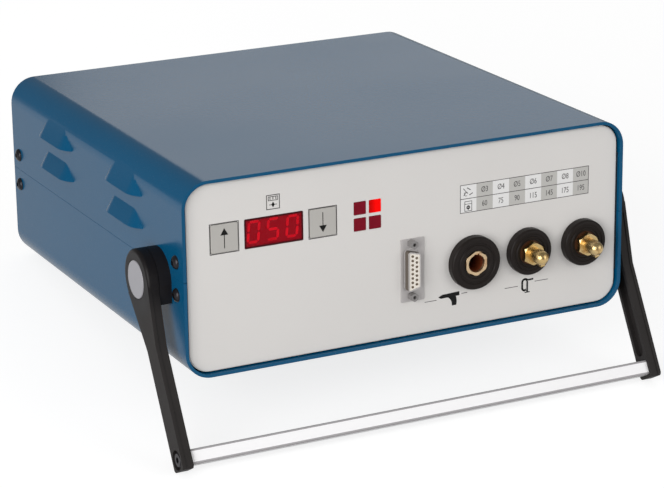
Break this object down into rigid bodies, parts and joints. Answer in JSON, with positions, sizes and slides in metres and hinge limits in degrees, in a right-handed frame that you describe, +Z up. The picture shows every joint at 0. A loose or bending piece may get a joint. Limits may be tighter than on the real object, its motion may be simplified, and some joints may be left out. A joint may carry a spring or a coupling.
{
  "type": "stud welder",
  "caption": "Portable stud welding power unit in a sheet-metal case with keypad, display, gun socket, earth plugs and a swivelling carrying handle that is its stand.",
  "frame": {"origin": "middle of the footprint's bounding box on the surface that the unit stands on, in its leaning stance on the handle and the rear feet", "axes": "+X to the right seen from the front, +Y from the front to the rear, +Z up; the case itself leans back by 8.829 degrees about X"},
  "size_m": [0.3288, 0.3302, 0.1644],
  "materials": {
    "case_paint": "satin",
    "panel_paint": "satin",
    "front_foil": "satin",
    "black_plastic": "satin",
    "gloss_black_plastic": "gloss",
    "key_plastic": "satin",
    "button_plastic": "satin",
    "window_red": "gloss",
    "segment_red": "gloss",
    "lamp_bright": "gloss",
    "lamp_dull": "satin",
    "black_steel": "satin",
    "zinc_steel": "satin",
    "white_aluminium": "satin",
    "plain_aluminium": "satin",
    "bright_brass": "polished",
    "copper": "satin",
    "foot_rubber": "matte",
    "socket_plastic": "satin",
    "board_green": "satin",
    "part_black": "satin",
    "laminate": "satin"
  },
  "bodies": {
    "case": {"lower_shell": "case_paint", "upper_shell": "case_paint", "front_panel": "panel_paint", "front_overlay": "front_foil", "rear_panel": "panel_paint", "side_screws": "black_steel", "foot_pads": "foot_rubber", "foot_screws": "zinc_steel", "display_window": "window_red", "display_module": "gloss_black_plastic", "display_segments": "segment_red", "lamp_lit": "lamp_bright", "lamps_unlit": "lamp_dull", "display_board": "board_green", "key_switches": "gloss_black_plastic", "signal_socket_shell": "zinc_steel", "signal_socket_insert": "socket_plastic", "signal_socket_screws": "zinc_steel", "gun_socket_body": "gloss_black_plastic", "gun_socket_contact": "bright_brass", "earth_plug_body_1": "gloss_black_plastic", "earth_plug_body_2": "gloss_black_plastic", "earth_plug_pin_1": "bright_brass", "earth_plug_pin_2": "bright_brass", "connector_nuts": "black_plastic", "handle_base_left": "black_plastic", "handle_base_right": "black_plastic", "pivot_bolts": "zinc_steel", "pivot_plates": "zinc_steel", "button_spring_left": "zinc_steel", "button_spring_right": "zinc_steel", "fan_frame": "black_plastic", "fan_guard": "black_steel", "fan_screws": "zinc_steel", "mains_inlet": "black_plastic", "mains_inlet_pins": "zinc_steel", "mains_switch_body": "black_plastic", "fuse_holder": "black_plastic", "chassis_plate": "plain_aluminium", "transformer_core": "zinc_steel", "transformer_winding": "copper", "capacitors": "part_black", "capacitor_clamp": "laminate", "busbars": "copper", "power_bars": "copper", "heat_sink": "plain_aluminium", "thyristor_module": "part_black", "control_board": "board_green", "control_board_parts": "part_black"},
    "handle": {"handle_arm_left": "black_plastic", "handle_arm_right": "black_plastic", "handle_bar": "white_aluminium", "handle_bar_screws": "black_steel"},
    "left_release_button": {"release_button_left": "button_plastic"},
    "right_release_button": {"release_button_right": "button_plastic"},
    "up_key": {"key_up": "key_plastic"},
    "down_key": {"key_down": "key_plastic"},
    "switch_rocker": {"mains_switch_rocker": "gloss_black_plastic"},
    "fan_wheel": {"fan_rotor": "black_plastic"},
    "fuse_carrier": {"fuse_cap": "gloss_black_plastic"}
  },
  "joints": [
    {"name": "handle_swing", "type": "hinge", "parent": "case", "child": "handle", "pos_m": [0, -0.08897, 0.09467], "axis": [1, 0, 0], "range_deg": [-198, 83]},
    {"name": "left_release_press", "type": "slide", "parent": "handle", "child": "left_release_button", "axis": [1, 0, 0], "range_m": [0, 0.002], "stiffness_N_per_m": 2000, "springref_m": -0.001, "deforming": ["button_spring_left"]},
    {"name": "right_release_press", "type": "slide", "parent": "handle", "child": "right_release_button", "axis": [-1, 0, 0], "range_m": [0, 0.002], "stiffness_N_per_m": 2000, "springref_m": -0.001, "deforming": ["button_spring_right"]},
    {"name": "up_key_press", "type": "slide", "parent": "case", "child": "up_key", "axis": [0, 0.9882, -0.1535], "range_m": [0, 0.0005], "stiffness_N_per_m": 3000, "springref_m": -0.0003},
    {"name": "down_key_press", "type": "slide", "parent": "case", "child": "down_key", "axis": [0, 0.9882, -0.1535], "range_m": [0, 0.0005], "stiffness_N_per_m": 3000, "springref_m": -0.0003},
    {"name": "mains_switch_rock", "type": "hinge", "parent": "case", "child": "switch_rocker", "pos_m": [-0.057, 0.14916, 0.04453], "axis": [1, 0, 0], "range_deg": [-20, 0]},
    {"name": "fan_spin", "type": "hinge", "parent": "case", "child": "fan_wheel", "pos_m": [0.085, 0.13809, 0.06446], "axis": [0, 0.9882, -0.1535], "continuous": true},
    {"name": "fuse_cap_turn", "type": "hinge", "parent": "case", "child": "fuse_carrier", "pos_m": [-0.025, 0.15015, 0.04437], "axis": [0, 0.9882, -0.1535], "range_deg": [0, 90]}
  ]
}
